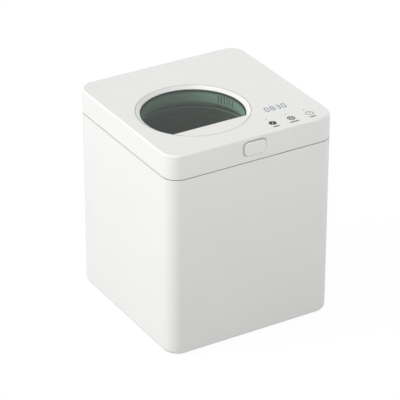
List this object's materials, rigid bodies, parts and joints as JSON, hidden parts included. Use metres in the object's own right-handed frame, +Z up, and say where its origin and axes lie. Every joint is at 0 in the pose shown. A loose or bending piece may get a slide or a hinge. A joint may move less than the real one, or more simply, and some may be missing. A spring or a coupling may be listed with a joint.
{
  "type": "electric food waste composter",
  "caption": "White, nearly cubic countertop food waste composter with a hinged lid, offset round window, push latch, lift-out bucket with stirrer, and rear filter tray.",
  "frame": {"origin": "on the table, under the middle of the appliance", "axes": "+Z up, -Y to the front with the latch button, +X to the right"},
  "size_m": [0.27, 0.2736, 0.32],
  "materials": {
    "housing_white": "satin white moulded plastic",
    "deck_white": "fine matt moulded plastic",
    "rubber_black": "matt rubber",
    "silicone_grey": "soft silicone",
    "screw_steel": "bright zinc",
    "well_aluminium": "spun aluminium",
    "heater_mica": "mica and foil",
    "sleeve_felt": "fibre felt",
    "gearbox_grey": "glass filled nylon",
    "gear_nylon": "natural nylon",
    "motor_steel": "dark plated can",
    "black_plastic": "moulded black",
    "board_green": "solder mask",
    "bucket_coating": "dark non-stick coating",
    "bush_brass": "sintered",
    "stirrer_cast": "cast and tumbled",
    "carbon_black": "carbon pellets in a mesh case",
    "window_glass": "grey-green tinted, polished"
  },
  "bodies": {
    "housing": {"outer_housing": "housing_white", "base_plate": "deck_white", "rubber_feet": "rubber_black", "base_screws": "screw_steel", "top_deck": "deck_white", "latch_keeper": "screw_steel", "heating_well": "well_aluminium", "heater_band": "heater_mica", "insulation_sleeve": "sleeve_felt", "temperature_sensor": "screw_steel", "shaft_seal": "rubber_black", "gearbox_housing": "gearbox_grey", "gearbox_cover": "gearbox_grey", "drive_bearings": "screw_steel", "idler_axle": "screw_steel", "drive_motor": "motor_steel", "filter_case": "deck_white", "fan_frame": "black_plastic", "exhaust_duct": "deck_white", "power_board": "board_green", "power_inlet": "black_plastic", "lid_sensor": "black_plastic"},
    "drive": {"output_gear": "gear_nylon", "drive_shaft": "screw_steel", "drive_dog": "black_plastic"},
    "idler": {"idler_gear": "gear_nylon"},
    "motor_shaft": {"motor_pinion": "screw_steel"},
    "fan": {"fan_rotor": "black_plastic"},
    "filter_drawer": {"filter_tray": "deck_white", "filter_cartridge": "carbon_black", "tray_gasket": "rubber_black"},
    "bucket": {"bucket": "bucket_coating", "bucket_bush": "bush_brass"},
    "stirrer": {"stirrer": "stirrer_cast", "stirrer_shaft": "screw_steel", "dog_socket": "black_plastic", "stirrer_nut": "screw_steel"},
    "lid": {"lid_shell": "housing_white", "lid_liner": "deck_white", "window_frame": "housing_white", "window_glass": "window_glass", "window_seal": "rubber_black", "lid_gasket": "silicone_grey", "lid_screws": "screw_steel", "hinge_pins": "screw_steel", "touch_board": "board_green", "display_module": "black_plastic", "touch_pads": "silicone_grey", "sensor_magnet": "screw_steel", "hook_pin": "screw_steel", "hook_spring": "screw_steel"},
    "latch_button": {"latch_button": "housing_white"},
    "latch_hook": {"latch_hook": "screw_steel"}
  },
  "joints": [
    {"name": "lid_hinge", "type": "hinge", "parent": "housing", "child": "lid", "pos_m": [0, 0.129, 0.2893], "axis": [-1, 0, 0], "range_deg": [0, 95]},
    {"name": "latch_press", "type": "slide", "parent": "lid", "child": "latch_button", "axis": [0, 1, 0], "range_m": [0, 0.002], "stiffness_N_per_m": 600},
    {"name": "hook_turn", "type": "hinge", "parent": "lid", "child": "latch_hook", "pos_m": [0, -0.121, 0.295], "axis": [-1, 0, 0], "range_deg": [0, 14], "deforming": ["hook_spring"]},
    {"name": "bucket_lift", "type": "slide", "parent": "housing", "child": "bucket", "axis": [0, 0, 1], "range_m": [0, 0.01]},
    {"name": "stirrer_spin", "type": "hinge", "parent": "bucket", "child": "stirrer", "pos_m": [-0.0315, -0.0207, 0.1], "axis": [0, 0, 1], "continuous": true},
    {"name": "drive_spin", "type": "hinge", "parent": "housing", "child": "drive", "pos_m": [-0.0315, -0.0207, 0.02], "axis": [0, 0, 1], "continuous": true},
    {"name": "idler_spin", "type": "hinge", "parent": "housing", "child": "idler", "pos_m": [0.02689, -0.04925, 0.025], "axis": [0, 0, 1], "continuous": true},
    {"name": "motor_spin", "type": "hinge", "parent": "housing", "child": "motor_shaft", "pos_m": [0.06513, -0.09352, 0.04], "axis": [0, 0, 1], "continuous": true},
    {"name": "fan_spin", "type": "hinge", "parent": "housing", "child": "fan", "pos_m": [0.064, 0.1105, 0.245], "axis": [0, 0, 1], "continuous": true},
    {"name": "filter_slide", "type": "slide", "parent": "housing", "child": "filter_drawer", "axis": [0, 1, 0], "range_m": [0, 0.042]}
  ],
  "couplings": [
    {"joint": "hook_turn", "follows": "latch_press", "rad_per_m": 117.65},
    {"joint": "idler_spin", "follows": "drive_spin", "ratio": -3.3333},
    {"joint": "motor_spin", "follows": "drive_spin", "ratio": 11.111},
    {"joint": "stirrer_spin", "follows": "drive_spin", "ratio": 1}
  ]
}
